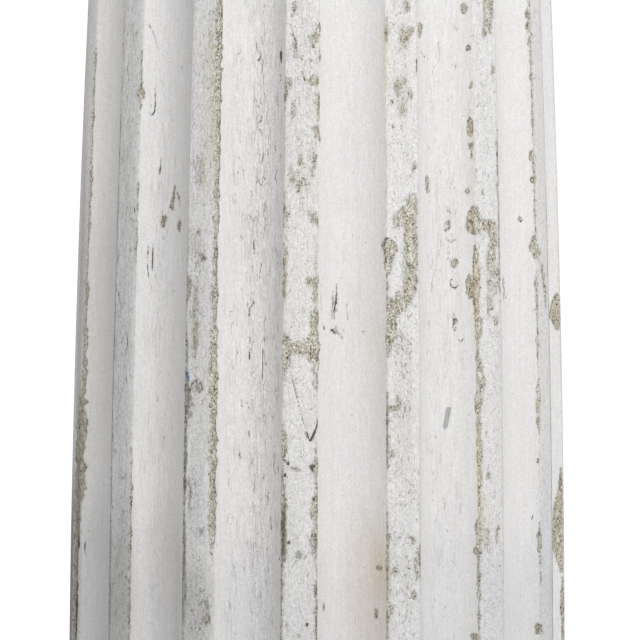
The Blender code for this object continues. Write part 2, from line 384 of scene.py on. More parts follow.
arrisLines = {              # dark lines on a fillet's edge, painted shade where the flute beyond turns away, with dirt on C's left edge: y from and to, wide, how broken
    ("B", -1): [(-20, 130, 1.6, 0.9), (120, 480, 2.8, 0.6), (470, 660, 4.0, 0.6)],
    ("C", -1): [(-20, 240, 0.7, 0.9), (230, 390, 2.0, 1.0), (384, 416, 4.8, 1.0), (412, 590, 3.4, 0.8),
                (580, 660, 5.0, 0.6)],
    ("E", 1): [(400, 660, 0.6, 0.9)],
    ("F", 1): [(36, 156, 0.9, 0.8), (290, 660, 0.7, 0.9)],
    ("G", 1): [(-20, 180, 2.2, 0.6), (175, 660, 3.6, 0.5)],
}

tintPatches = {             # soft colouring of the paint, some of it painted light and shade: x, y, wide, tall, multiplied by
    "dullA": (79, 330, 20, 300, (0.76, 0.765, 0.73)),
    "oliveAMiddle": (79, 450, 26, 110, (0.91, 0.89, 0.85)),
    "oliveA": (74.5, 590, 17, 190, (0.66, 0.63, 0.57)),
    "darkZ": (70.9, 600, 24, 190, (0.46, 0.45, 0.42)),
    # paleTopA: painted light, lighter at the top on the left
    "paleTopA": (102, 60, 60, 240, (1.11, 1.11, 1.095)),
    "paleD": (302, 360, 24, 400, (1.03, 1.03, 1.02)),
    "paleCD": (250, 410, 50, 220, (1.05, 1.045, 1.04)),
    # duskRight: painted shade, darker towards the bottom, with some dirt
    "duskRight": (440, 640, 240, 170, (0.945, 0.945, 0.95)),
    "darkEdgeD": (282.5, 530, 4, 46, (0.55, 0.53, 0.48)),
    "smudgeC": (195, 318, 8, 44, (0.8, 0.8, 0.75)),
    "ringC": (197, 387, 11, 11, (0.88, 0.87, 0.82)),
    "grimeC": (193, 240, 6, 18, (0.86, 0.86, 0.8)),
    # painted shade down fillet B below its top, slightly cool
    "coolShadeB": (122, 410, 24, 500, (0.9, 0.91, 0.915)),
    "greyB": (120, 600, 28, 110, (0.9, 0.9, 0.89)),
    "warmAB": (96, 240, 40, 300, (1.0, 0.985, 0.965)),
    "warmBC": (165, 480, 26, 200, (1.0, 0.985, 0.97)),
    "oliveC": (209, 120, 16, 130, (0.95, 0.94, 0.87)),
    "greyC": (198, 330, 15, 190, (0.93, 0.93, 0.91)),
    "scuffC": (195, 500, 14, 70, (0.9, 0.9, 0.91)),
    "footC": (197, 612, 26, 80, (0.8, 0.8, 0.79)),
    # duskA to duskCD: painted shade, darker towards the bottom, with some dirt
    "duskA": (96, 610, 46, 170, (0.86, 0.865, 0.87)),
    "duskB": (122, 610, 34, 170, (0.86, 0.86, 0.86)),
    "duskBC": (166, 615, 40, 170, (0.87, 0.87, 0.875)),
    "duskCD": (250, 620, 60, 130, (0.95, 0.95, 0.955)),
    # darkPitE: painted shadow inside the pit, under its left paint edge
    "darkPitE": (384.5, 248, 5, 18, (0.8, 0.79, 0.77)),
    "creamEdgeD": (285, 240, 4, 120, (0.98, 0.95, 0.87)),
    "warmD": (305, 180, 22, 320, (1.0, 0.995, 0.975)),
    "yellowDE": (372, 36, 26, 9, (0.99, 0.965, 0.88)),
    "yellowEdgeE": (385, 70, 6, 90, (0.985, 0.965, 0.89)),
    "pinkDE": (366, 315, 26, 70, (0.985, 0.96, 0.935)),
    "pinkEdgeDE": (378, 380, 14, 90, (0.985, 0.955, 0.93)),
    "rustDE": (370, 588, 38, 120, (0.935, 0.89, 0.835)),
    # duskFarRight and duskGH: painted shade, darker towards the bottom, with some dirt
    "duskFarRight": (534, 612, 60, 130, (0.95, 0.95, 0.955)),
    "duskGH": (553, 600, 14, 130, (0.9, 0.9, 0.91)),
    "bandC": (214.5, 475, 8, 110, (0.92, 0.92, 0.91)),
    # duskCLeft to duskFootD: painted shade, darker towards the bottom, with some dirt; duskLeftFG: painted
    # shade in flute FG beside fillet F's edge
    "duskCLeft": (187, 600, 11, 120, (0.87, 0.87, 0.87)),
    "duskBLeft": (109, 600, 12, 120, (0.84, 0.84, 0.82)),
    "duskBCRight": (178, 600, 11, 130, (0.93, 0.93, 0.925)),
    "duskFootD": (298, 600, 46, 120, (0.955, 0.955, 0.96)),
    "duskLeftFG": (500, 420, 10, 500, (0.965, 0.965, 0.965)),
    "oliveEdgeC": (208, 410, 8, 80, (0.95, 0.95, 0.92)),
    # paleTopCD: painted light, lighter at the top of flute CD
    "paleTopCD": (262, 90, 30, 200, (1.04, 1.035, 1.02)),
    "warmRightCD": (274, 400, 16, 240, (0.99, 0.975, 0.955)),
    "rustCoreDE": (378, 568, 12, 48, (0.975, 0.92, 0.85)),
    "greyE": (402, 60, 20, 110, (0.97, 0.965, 0.94)),
    "oliveE": (402, 420, 16, 120, (0.98, 0.975, 0.94)),
    "yellowEF": (448, 23, 16, 10, (0.99, 0.97, 0.89)),
    "creamF": (470, 150, 8, 130, (0.99, 0.97, 0.935)),
    "creamFLow": (487, 520, 12, 40, (0.98, 0.965, 0.92)),
    "rustStripF": (477, 300, 12, 70, (1.0, 0.965, 0.89)),
    "rustLowF": (479, 470, 8, 90, (1.0, 0.96, 0.88)),
    "coldF": (490, 590, 20, 60, (0.94, 0.955, 0.98)),
    "coldG": (545, 560, 24, 160, (0.96, 0.975, 1.0)),
    "rustG": (538, 440, 5, 90, (1.0, 0.97, 0.93)),
    "blueLow": (184.8, 622, 1.8, 34, (0.42, 0.58, 0.66)),
    "blueMiddle": (186, 450, 1.4, 30, (0.62, 0.76, 0.84)),
    "blue": (187, 376, 2.6, 9, (0.1, 0.4, 0.76)),
    "blueAbove": (187.4, 355, 1.6, 20, (0.7, 0.8, 0.88)),
}

grimePatches = {            # where dark specks and scuffs gather: x, y, wide, tall, how thick
    "topC": (208, 40, 10, 80, 0.5), "oliveC": (200, 168, 12, 46, 0.8), "middleC": (195, 300, 12, 90, 1.1),
    "ringC": (196, 385, 12, 14, 1.0), "lowC": (193, 490, 12, 50, 0.9), "scuffC": (200, 532, 10, 14, 1.1),
    "footC": (198, 605, 16, 60, 1.0), "clumpC": (205, 600, 10, 24, 1.2),
    "blotchC": (189, 407, 9, 22, 1.6), "topD": (300, 40, 18, 60, 0.35), "bandD": (300, 350, 20, 14, 0.5),
    "smudgeD": (293, 469, 9, 5, 1.7), "smudgeDRight": (312, 467, 5, 6, 1.9),
    "scuffD": (300, 556, 9, 10, 1.6), "cornerD": (313, 545, 5, 16, 1.6),
    "diamond": (334, 306, 7, 26, 1.5), "diamondFoot": (338, 331, 16, 6, 1.4),
    "topE": (400, 60, 18, 110, 0.6), "middleE": (402, 250, 18, 110, 0.35),
    "lowE": (404, 350, 16, 60, 0.7), "footE": (402, 500, 18, 260, 0.55),
    "flakesEF": (450, 240, 14, 60, 0.4), "F": (485, 320, 22, 560, 0.4), "lowF": (490, 500, 16, 90, 0.6),
    "B": (120, 330, 20, 100, 0.5), "footB": (126, 560, 16, 120, 0.6), "G": (545, 490, 20, 60, 0.4),
    "edgeA": (76, 540, 20, 200, 1.0),
}

crazedPatches = {           # where fine cracks run up the paint: x, y, wide, tall, how thick
    "CD": (262, 320, 26, 700, 1.0), "CDRight": (274, 320, 18, 700, 0.9),
    "CDLeft": (236, 320, 20, 700, 0.5), "BC": (160, 330, 30, 500, 0.4), "B": (120, 320, 24, 700, 0.9),
    "E": (404, 450, 14, 150, 0.4), "DE": (352, 140, 24, 200, 0.2), "C": (200, 330, 16, 600, 0.4),
    "EF": (440, 330, 40, 640, 0.42), "D": (304, 100, 20, 200, 0.4),
}

grittyPatches = {           # where timber shows through in grains: x, y, wide, tall, how much
    "topC": (212, 30, 12, 60, 0.8), "edgeC": (214, 110, 10, 120, 0.9),
    "edgeCMiddle": (213, 330, 9, 200, 0.92), "edgeCLow": (212, 470, 7, 130, 0.88),
    "oliveC": (200, 172, 14, 40, 0.84), "middleC": (200, 250, 14, 24, 0.8),
    "clumpC": (195, 320, 8, 60, 0.9), "ringC": (196, 386, 12, 14, 0.92),
    "footC": (205, 618, 12, 24, 0.86), "topD": (318, 45, 7, 40, 0.9), "topDLeft": (296, 50, 8, 18, 0.88),
    "upperD": (316, 115, 7, 70, 0.8), "chipsD": (304, 178, 16, 30, 0.82),
    "middleD": (313, 217, 8, 18, 0.94), "edgeD": (316, 268, 6, 50, 0.9),
    "leftMiddleD": (286, 270, 4, 90, 0.86), "bandD": (300, 349, 26, 15, 1.0),
    "underBandD": (314, 362, 9, 12, 0.96), "ringD": (309, 282, 5, 9, 0.92),
    "lowD": (316, 420, 4, 90, 0.8), "footD": (316, 515, 4, 70, 0.9), "leftD": (284, 525, 5, 66, 0.92),
    "lastD": (316, 600, 3, 70, 0.8), "topE": (404, 38, 14, 26, 0.92), "upperE": (402, 95, 14, 40, 0.86),
    "aboveE": (408, 165, 12, 50, 0.7), "patchE": (409, 252, 13, 100, 1.0),
    "pitE": (388, 254, 9, 26, 0.95), "linkE": (401, 300, 14, 22, 0.98), "lowE": (400, 345, 14, 30, 0.88),
    "footE": (411, 380, 8, 80, 0.8), "footELow": (408, 480, 9, 160, 0.72),
    "lastE": (408, 590, 12, 60, 0.8), "leftE": (389, 300, 4, 20, 0.9), "chipE": (396, 408, 12, 7, 0.98),
    "topEF": (421, 30, 8, 12, 0.94), "flakesEF": (448, 225, 11, 11, 0.96),
    "chipEF": (455, 264, 7, 9, 0.96), "stripEF": (430, 183, 8, 14, 0.92),
    "edgeF": (469, 125, 6, 60, 0.92), "patchF": (481, 225, 20, 18, 1.0),
    "aboveF": (471, 180, 7, 34, 0.86), "sideF": (491, 250, 10, 36, 0.92),
    "lowPatchF": (491, 290, 12, 46, 0.94), "stripF": (476, 300, 10, 80, 0.95),
    "lowStripF": (480, 388, 9, 50, 0.98), "thinF": (482, 480, 6, 140, 0.84),
    "crossF": (486, 538, 14, 22, 0.94), "footF": (476, 636, 8, 8, 1.0), "topF": (487, 16, 11, 36, 0.95),
    "startF": (464, 8, 7, 11, 0.98), "edgeG": (529, 40, 6, 60, 0.92), "upperG": (532, 165, 6, 30, 0.92),
    "chipG": (536, 250, 14, 18, 0.95), "middleG": (538, 310, 6, 60, 0.88),
    "lowG": (538, 404, 6, 40, 0.95), "footG": (539, 540, 7, 24, 0.95), "wedgeG": (545, 285, 8, 34, 0.95),
    "edgeA": (84, 290, 8, 110, 0.88), "lowA": (79, 430, 16, 90, 1.0), "footA": (75, 575, 26, 180, 1.04),
    "edgeB": (136, 250, 3, 140, 0.86), "lowEdgeB": (133, 520, 3, 130, 0.84),
    "chipB": (141, 94, 7, 10, 0.98), "wedgeH": (558, 525, 20, 70, 0.95),
}

greyMark = (447, 418, 4, 15)          # flat grey slanting mark in flute EF: x, y, wide, tall
greyMarkLean = 0.2

wearForm = {                # mm, and lumps are wide, tall and a seed
    "skin": 0.05,           # the whole surface is sunk by this, which keeps it inside the solid
    "wanderLumps": (28, 90, 41),
    "paintDeep": 0.7,
    "paintStep": 0.7,       # width of the step down at a paint edge
    "timberDeep": 0.9,
    "timberSlope": 3.0,     # width of the slope down into bare timber
    "gritDeep": 0.35,
    "gritLumps": (1.4, 2.2, 42),
    "crackDeep": 0.5,
    "crackSide": 0.3,       # width of a crack's sloping side
    "reach": 4.0,           # distances to wear are cut off past this
    "raggedReach": 3.0,     # paint edges are ragged within this
    "raggedOut": 0.15,
    "ragged": ((0.85, 2.6, 3.6, 21), (0.55, 1.3, 1.7, 22)),     # share, lumps
    "splintered": 1.1,      # paint lost along the sawn ends, and how much that varies
    "splinteredBy": 1.6,
    "splinterLumps": (5, 5, 77),
}


def rowsByArris(table):
    return [(arris, row) for arris, rows in table.items() for row in rows]


# Wear is measured on the flat sheet, in mm: more than 0 is inside it

class Sheet:
    def __init__(self, across, up):
        self.across, self.up = across, up
        for name in ("bare", "crack", "edge", "smear"):
            setattr(self, name, np.full(len(across), -wearForm["reach"]))
        for name in ("gritty", "grime", "crazed"):
            setattr(self, name, np.zeros(len(across)))
        self.tint = np.ones((len(across), 3))

    def near(self, place, wide, tall):
        margin = 6 * mm
        return np.nonzero((np.abs(self.across - place[0]) < wide * mm / 2 + margin)
                          & (np.abs(self.up - place[1]) < tall * mm / 2 + margin))[0]

    def spot(self, field, place, wide, tall):
        here = self.near(place, wide, tall)
        a = (self.across[here] - place[0]) / mm / (wide / 2)
        b = (self.up[here] - place[1]) / mm / (tall / 2)
        far = np.sqrt(a * a + b * b)
        inside = (1 - far) * min(wide, tall) / 2
        field[here] = np.maximum(field[here], inside)

    def stroke(self, field, points):                    # points: across, up, wide
        for (a0, u0, w0), (a1, u1, w1) in zip(points, points[1:]):
            middle = ((a0 + a1) / 2, (u0 + u1) / 2)
            here = self.near(middle, abs(a1 - a0) / mm + max(w0, w1), abs(u1 - u0) / mm + max(w0, w1))
            da, du = a1 - a0, u1 - u0
            span = max(da * da + du * du, 1e-12)
            share = np.clip(((self.across[here] - a0) * da + (self.up[here] - u0) * du) / span, 0, 1)
            far = np.hypot(self.across[here] - a0 - share * da, self.up[here] - u0 - share * du) / mm
            field[here] = np.maximum(field[here], (w0 + share * (w1 - w0)) / 2 - far)

    def along(self, field, place, low, high, wide, broken, seed):
        middle = (place, (low + high) / 2)
        here = self.near(middle, wide, (high - low) / mm)
        up = self.up[here]
        zero = np.zeros(len(here))
        ends = np.minimum(up - low, high - up) / mm / 3
        uneven = unevenness(zero, up, 50, 7, seed) * 0.45 + unevenness(zero, up, 50, 2.6, seed + 1) * 0.55
        half = wide / 2 * (1 + broken * uneven) * np.clip(ends, 0, 1)
        field[here] = np.maximum(field[here], half - np.abs(self.across[here] - place) / mm)

    def soft(self, place, wide, tall):                  # 1 in the middle, fading to nothing
        a = (self.across - place[0]) / mm / (wide / 2)
        b = (self.up - place[1]) / mm / (tall / 2)
        far = np.sqrt(a * a + b * b)
        share = np.clip((1.25 - far) / 0.75, 0, 1)
        return share * share * (3 - 2 * share)


# A pixel of the photograph is found on the sheet by looking from the camera at the plain form

def makeFinder():
    bm = bmesh.new()
    bmesh.ops.create_grid(bm, x_segments=640, y_segments=60, size=1)
    bmesh.ops.triangulate(bm, faces=bm.faces)
    flat = np.array([v.co for v in bm.verts])
    across, up = flat[:, 0] * girth / 2, (flat[:, 1] + 1) / 2 * shaftForm["length"]
    solid = wrapped(across, up, np.zeros(len(across)))
    triangles = [[v.index for v in f.verts] for f in bm.faces]
    bm.free()
    tree = BVHTree.FromPolygons([Vector(p) for p in solid], triangles)
    return tree, triangles, solid, np.column_stack((across, up, np.zeros(len(across))))


finder, finderTriangles, finderSolid, finderFlat = makeFinder()


def seenAt(x, y):
    middle = photoView["pixels"] / 2
    look = Vector((x - middle, middle - y, -photoView["focalPixels"]))
    eye = cameraPlace.translation
    for _ in range(12):                                 # a point just off the silhouette slides onto it
        hit, normal, index, far = finder.ray_cast(eye, cameraPlace.to_3x3() @ look)
        if hit is not None:
            corners = finderTriangles[index]
            ends = [Vector(finderSolid[i]) for i in corners] + [Vector(finderFlat[i]) for i in corners]
            flat = barycentric_transform(hit, *ends)
            return flat.x, flat.y
        look.x -= math.copysign(1.0, look.x)
    raise ValueError(f"nothing of the shaft is seen at {x}, {y}")


def heightSeen(fillet, y):                              # height on a fillet at the photograph's row y
    angle = filletNumber[fillet] * pitch + math.radians(shaftForm["turn"])
    away = photoView["distance"] - shaftForm["fullRadius"] * math.cos(angle)
    return photoView["height"] + (photoView["pixels"] / 2 - y) * away / photoView["focalPixels"]


def placedWear():
    placed = {"spots": []}
    for spots in bareSpots.values():
        placed["spots"] += [(seenAt(x, y), wide, tall) for x, y, wide, tall in spots]
    for name, table in (("strokes", bareStrokes), ("cracks", cracks), ("smears", smears)):
        placed[name] = [[(*seenAt(x, y), wide) for x, y, wide in points] for points in table.values()]
    for name, table in (("tints", tintPatches), ("gritty", grittyPatches), ("grime", grimePatches),
                        ("crazed", crazedPatches)):
        placed[name] = [(seenAt(x, y), *rest) for x, y, *rest in table.values()]
    return placed


photoWear = placedWear()
print("wear placed from the photograph")


# Wear in keeping where the photograph doesn't reach: behind, above and below

restOfWear = {
    "seed": 11,
    "stripEvery": 0.16,       # metres of arris to a worn stretch
    "stripLength": (0.02, 0.13),
    "stripWide": (1.0, 4.5),
    "stripGap": (0.2, 1.8),   # of the metres above
    "stripBroken": 1.3,
    "chips": 230,
    "chipWide": (1.2, 5.5),
    "chipTall": (1.0, 2.4),   # times its width
    "onFillets": 0.75,        # share of the chips; the rest may lie in a flute
    "cracks": 90,
    "crackTall": (4, 11),
    "crackLean": (-1.5, 1.5),
    "seenBands": 4.15,        # fillets and flutes seen either side of fillet D
    "seenLow": 0.262,
    "seenHigh": 0.738,
    "fadeBands": (4.1, 0.3),  # soft wear starts this many fillets and flutes out, and fades in over so many
    "fadeHeight": (0.235, 0.03),        # and so far above and below the photograph's middle, in metres
    "soft": {                 # how much, how much it varies, lumps
        "grime": (0.25, 0.3, (40, 160, 31)),
        "crazed": (0.3, 0.4, (30, 120, 32)),
        "gritty": (0.62, 0.30, (60, 45, 33)),
    },
}


def inPhotograph(across, up):
    beside = abs(across) < restOfWear["seenBands"] * bandGirth
    return beside & (restOfWear["seenLow"] < up) & (up < restOfWear["seenHigh"])


def restWear():
    chance = random.Random(restOfWear["seed"])
    made = {"strips": [], "spots": [], "cracks": []}
    for number in range(-8, 8):
        for side in (-1, 1):
            place = number * bandGirth + side * halfFillet
            low = chance.uniform(0, restOfWear["stripEvery"])
            while low < shaftForm["length"]:
                high = low + chance.uniform(*restOfWear["stripLength"])
                wide = chance.uniform(*restOfWear["stripWide"])
                seed = chance.randrange(500)
                if not inPhotograph(place, low) and not inPhotograph(place, high):
                    onto = place - side * wide * 0.25 * mm
                    made["strips"].append((onto, low, high, wide, restOfWear["stripBroken"], seed))
                low = high + chance.uniform(*restOfWear["stripGap"]) * restOfWear["stripEvery"]
    for _ in range(restOfWear["chips"]):
        number = chance.randrange(-8, 8)
        aside = chance.uniform(-1, 1) * halfFillet
        across = number * bandGirth + aside * (1 if chance.random() < restOfWear["onFillets"] else 3)
        up = chance.uniform(0.01, shaftForm["length"] - 0.01)
        wide = chance.uniform(*restOfWear["chipWide"])
        if not inPhotograph(across, up):
            made["spots"].append(((across, up), wide, wide * chance.uniform(*restOfWear["chipTall"])))
    for _ in range(restOfWear["cracks"]):
        across = chance.uniform(-0.5, 0.5) * girth
        up = chance.uniform(0.03, shaftForm["length"] - 0.03)
        if not inPhotograph(across, up):
            lean = chance.uniform(*restOfWear["crackLean"]) * mm
            tall = chance.uniform(*restOfWear["crackTall"]) * mm
            made["cracks"].append([(across, up, 0.4), (across + lean, up - tall, 0.8),
                                   (across + 2 * lean, up - tall * 1.3, 0.5)])
    return made


unseenWear = restWear()


def addSoftWear(sheet):
    across, up = sheet.across, sheet.up
    bands, overBands = restOfWear["fadeBands"]
    height, overHeight = restOfWear["fadeHeight"]
    behind = np.clip((np.abs(across) / bandGirth - bands) / overBands, 0, 1)
    beyond = np.clip((np.abs(up - photoView["height"]) - height) / overHeight, 0, 1)
    hidden = np.maximum(behind, beyond)
    besideArris = np.clip(1.3 - np.abs(pastArris(across)) / 6, 0, 1)    # none past 7.8 mm from an arris
    for name, share in (("grime", hidden), ("crazed", hidden), ("gritty", hidden * besideArris)):
        level, varies, lumps = restOfWear["soft"][name]
        made = share * (level + varies * unevenness(across, up, *lumps))
        setattr(sheet, name, np.maximum(getattr(sheet, name), made))


def measured(across, up):
    sheet = Sheet(across, up)
    for place, wide, tall in photoWear["spots"] + unseenWear["spots"]:
        sheet.spot(sheet.bare, place, wide, tall)
    for points in photoWear["strokes"]:
        sheet.stroke(sheet.bare, points)
    for seed, ((fillet, side), row) in enumerate(rowsByArris(arrisWear)):
        top, foot, wide, onto, broken = row
        place = arrisPlace(fillet, side) - side * onto * mm
        low, high = heightSeen(fillet, foot), heightSeen(fillet, top)
        sheet.along(sheet.bare, place, low, high, wide, broken, 3 * seed)
    for strip in unseenWear["strips"]:
        sheet.along(sheet.bare, *strip)
    endward = np.minimum(up, shaftForm["length"] - up) / mm
    splintered = wearForm["splinteredBy"] * unevenness(across, up * 0, *wearForm["splinterLumps"])
    ends = wearForm["splintered"] + splintered - endward
    sheet.bare = np.maximum(sheet.bare, ends)           # paint splintered by the saw
    ragged = sum(share * unevenness(across, up, *lumps) for share, *lumps in wearForm["ragged"])
    ragged = np.where(sheet.bare > -wearForm["raggedReach"], ragged + wearForm["raggedOut"], 0)
    sheet.bare = sheet.bare + ragged
    for points in photoWear["cracks"] + unseenWear["cracks"]:
        sheet.stroke(sheet.crack, points)
    for seed, ((fillet, side), row) in enumerate(rowsByArris(arrisLines)):
        top, foot, wide, broken = row
        place = arrisPlace(fillet, side) - side * wide * 0.4 * mm
        low, high = heightSeen(fillet, foot), heightSeen(fillet, top)
        sheet.along(sheet.edge, place, low, high, wide, broken, 200 + 3 * seed)
    for points in photoWear["smears"]:
        sheet.stroke(sheet.smear, points)
    sheet.edge = np.maximum(sheet.edge, sheet.smear)
    markX, markY, markWide, markTall = greyMark
    markPlace = seenAt(markX, markY)
    a = (across - markPlace[0]) / mm - greyMarkLean * (up - markPlace[1]) / mm
    b = (up - markPlace[1]) / mm
    sheet.mark = np.minimum(markWide / 2 - np.abs(a), markTall / 2 - np.abs(b))
    for place, wide, tall, colour in photoWear["tints"]:
        share = sheet.soft(place, wide, tall)[:, None]
        sheet.tint *= 1 - share * (1 - np.array(colour))
    for name in ("gritty", "grime", "crazed"):
        for place, wide, tall, thick in photoWear[name]:
            setattr(sheet, name, np.maximum(getattr(sheet, name), thick * sheet.soft(place, wide, tall)))
    addSoftWear(sheet)
    onFillet = np.clip(0.5 - pastArris(across) / 4, 0, 1)
    sheet.crusty = np.maximum(0.22 + 0.78 * onFillet, 0.75 * sheet.crazed)
    sheet.fromArris = np.abs(pastArris(across))
    return sheet


# The painted shaft: a grid, refined where paint ends, wrapped, sunk where it is worn, welded and closed

shaftMesh = {
    "filletSteps": 4,
    "fluteStepsSeen": 10,
    "fluteStepsBehind": 7,
    "besideArris": 1.3,       # mm from an arris to the columns next to it
    "rowHeight": 0.0105,
    "seamSunk": 0.2,          # mm
    "rounds": (               # mm from a paint edge or a crack that each round refines, seen and unseen
        {"edge": (3.8, 2.2), "crack": (2.6, 1.6)},
        {"edge": (1.4, 0.25), "crack": (1.2, 0.3)},
        {"edge": (0.0, 0.0), "crack": (0.6, 0.0)},
    ),
}


def columnPlaces():
    beside = shaftMesh["besideArris"] * mm
    places = []

    def run(start, end, steps):
        inner = np.linspace(start + beside, end - beside, steps + 1)
        places.extend([start, *inner])

    for number in range(-8, 8):
        middle = number * bandGirth
        seen = -5 < number < 4
        steps = shaftMesh["fluteStepsSeen"] if seen else shaftMesh["fluteStepsBehind"]
        if number == -8:                                # the seam runs up the middle of the fillet behind
            places.extend(np.linspace(middle, middle + halfFillet, 4)[:-1])
        else:
            run(middle - halfFillet, middle + halfFillet, shaftMesh["filletSteps"])
        run(middle + halfFillet, middle + bandGirth - halfFillet, steps)
    places.extend(np.linspace(8 * bandGirth - halfFillet, 8 * bandGirth, 4))
    return np.array(places)


def flatOf(bm):
    flat = np.array([v.co for v in bm.verts])
    return flat[:, 0], flat[:, 1]


def refine(bm, reach):
    sheet = measured(*flatOf(bm))
    seen = inPhotograph(sheet.across, sheet.up)
    fromEdge = np.minimum(np.abs(sheet.bare), np.abs(sheet.mark))
    fromLine = np.minimum(np.abs(sheet.crack), np.abs(sheet.smear))
    close = (fromEdge < np.where(seen, *reach["edge"])) | (fromLine < np.where(seen, *reach["crack"]))
    chosen = set()
    bm.verts.index_update()
    for face in bm.faces:
        if any(close[v.index] for v in face.verts):
            chosen.update(face.edges)
    bmesh.ops.subdivide_edges(bm, edges=list(chosen), cuts=1, use_grid_fill=True)


def storeWear(bm, sheet):                               # for the paint's material to read
    for name in ("bare", "crack", "mark", "edge", "gritty", "grime", "crazed", "crusty", "fromArris"):
        layer = bm.verts.layers.float.new(name)
        values = np.clip(getattr(sheet, name), -wearForm["reach"], wearForm["reach"])
        for vert, value in zip(bm.verts, values):
            vert[layer] = value
    layer = bm.verts.layers.float_vector.new("tint")
    for vert, value in zip(bm.verts, sheet.tint):
        vert[layer] = value


def makeShaft():
    places = columnPlaces()
    columns = len(places) - 1
    rows = round(shaftForm["length"] / shaftMesh["rowHeight"])
    bm = bmesh.new()
    bmesh.ops.create_grid(bm, x_segments=columns, y_segments=rows, size=1)
    for vert in bm.verts:
        column = round((vert.co.x + 1) / 2 * columns)
        vert.co = (places[column], (vert.co.y + 1) / 2 * shaftForm["length"], 0)
    for reach in shaftMesh["rounds"]:
        refine(bm, reach)
        print("refined to", len(bm.faces), "faces")
    across, up = flatOf(bm)
    sheet = measured(across, up)
    sunk = surfaceDepth(sheet)
    onSeam = np.abs(np.abs(across) - girth / 2) < 1e-6
    sunk[onSeam] = shaftMesh["seamSunk"] * mm           # both sides of the seam meet
    storeWear(bm, sheet)
    seam = [vert for vert, meets in zip(bm.verts, onSeam) if meets]
    for vert, place in zip(bm.verts, wrapped(across, up, sunk)):
        vert.co = place
    bmesh.ops.remove_doubles(bm, verts=seam, dist=1e-5)
    closeEnds(bm)
    bmesh.ops.recalc_face_normals(bm, faces=bm.faces)
    for face in bm.faces:
        face.smooth = True
    mesh = bpy.data.meshes.new("paintedShaft")
    bm.to_mesh(mesh)
    bm.free()
    mesh.set_sharp_from_angle(angle=math.radians(50))
    shaft = bpy.data.objects.new("paintedShaft", mesh)
    bpy.context.scene.collection.objects.link(shaft)
    triangles = sum(len(p.vertices) - 2 for p in mesh.polygons)
    print("painted shaft made of", triangles, "triangles")
    return shaft


def surfaceDepth(sheet):
    across, up = sheet.across, sheet.up
    rounding = np.clip(1 - np.abs(pastArris(across)) / shaftForm["arrisReach"], 0, 1) ** 2
    wander = 0.5 + 0.5 * unevenness(across, up, *wearForm["wanderLumps"])
    step = np.clip(sheet.bare / wearForm["paintStep"], 0, 1)
    deeper = np.clip(sheet.bare / wearForm["timberSlope"], 0, 1)
    grit = unevenness(across, up, *wearForm["gritLumps"])
    crack = np.clip(sheet.crack / wearForm["crackSide"] + 1, 0, 1)
    return mm * (wearForm["skin"] + rounding * shaftForm["arrisRounding"] + wander * shaftForm["wander"]
                 + step * (wearForm["paintDeep"] + wearForm["gritDeep"] * (0.5 + 0.5 * grit))
                 + deeper * wearForm["timberDeep"] + crack * wearForm["crackDeep"])


def closeEnds(bm):
    for height in (0.0, shaftForm["length"]):
        rim = [e for e in bm.edges if e.is_boundary and all(abs(v.co.z - height) < 1e-6 for v in e.verts)]
        bmesh.ops.edgeloop_fill(bm, edges=rim, mat_nr=1)


paintedShaft = makeShaft()


# Shader maths as plain expressions

class Wire:
    def __init__(self, tree, socket=None):
        self.tree, self.socket = tree, socket

    def node(self, kind, settings=None, inputs=None, out=0):
        made = self.tree.nodes.new(kind)
        for name, value in (settings or {}).items():
            if name == "stops":
                for element, (place, colour) in zip(rampElements(made, len(value)), value):
                    element.position, element.color = place, (*colour, 1)
            else:
                setattr(made, name, value)
        for name, value in (inputs or {}).items():
            if isinstance(value, Wire):
                self.tree.links.new(value.socket, made.inputs[name])
            else:
                made.inputs[name].default_value = value
        return Wire(self.tree, made.outputs[out]) if made.outputs else None

    def maths(self, operation, first, second=0.0):
        return self.node("ShaderNodeMath", {"operation": operation}, {0: first, 1: second})

    def __add__(self, other):
        return self.maths("ADD", self, other)

    def __sub__(self, other):
        return self.maths("SUBTRACT", self, other)

    def __mul__(self, other):
        return self.maths("MULTIPLY", self, other)

    def __rsub__(self, other):
        return self.maths("SUBTRACT", other, self)

    __radd__ = __add__
    __rmul__ = __mul__

    def bigger(self, other):
        return self.maths("MAXIMUM", self, other)

    def size(self):
        return self.maths("ABSOLUTE", self)

    def rise(self, low, high):                          # 0 below low, 1 above high, smooth between
        return self.node("ShaderNodeMapRange", {"interpolation_type": "SMOOTHSTEP"},
                         {"Value": self, "From Min": low, "From Max": high})


def rampElements(ramp, count):
    elements = ramp.color_ramp.elements
    while len(elements) < count:
        elements.new(1)
    return list(elements)


def blendOf(wire, share, first, second, how="MIX"):
    return wire.node("ShaderNodeMix", {"data_type": "RGBA", "blend_type": how},
                      {0: share, 6: first, 7: second}, out=2)


def rgb(red, green, blue):
    return (red, green, blue, 1.0)


def startFinish(name):
    material = bpy.data.materials.new(name)
    material.use_nodes = True
    tree = material.node_tree
    tree.nodes.clear()
    return material, Wire(tree)


def finishSurface(wire, colour, roughness, normal):
    surface = wire.node("ShaderNodeBsdfPrincipled", None,
                        {"Base Color": colour, "Roughness": roughness, "Normal": normal})
    wire.node("ShaderNodeOutputMaterial", None, {"Surface": surface})


def noiseOf(wire, place, stretch, detail, seed):        # stretch: lumps to the metre, across and up
    wide, tall = stretch
    moved = (seed, seed * 0.7, seed * 1.3)
    spread = wire.node("ShaderNodeMapping", None,
                       {"Vector": place, "Location": moved, "Scale": (wide, wide, tall)})
    return wire.node("ShaderNodeTexNoise", None, {"Vector": spread, "Scale": 1.0, "Detail": detail})


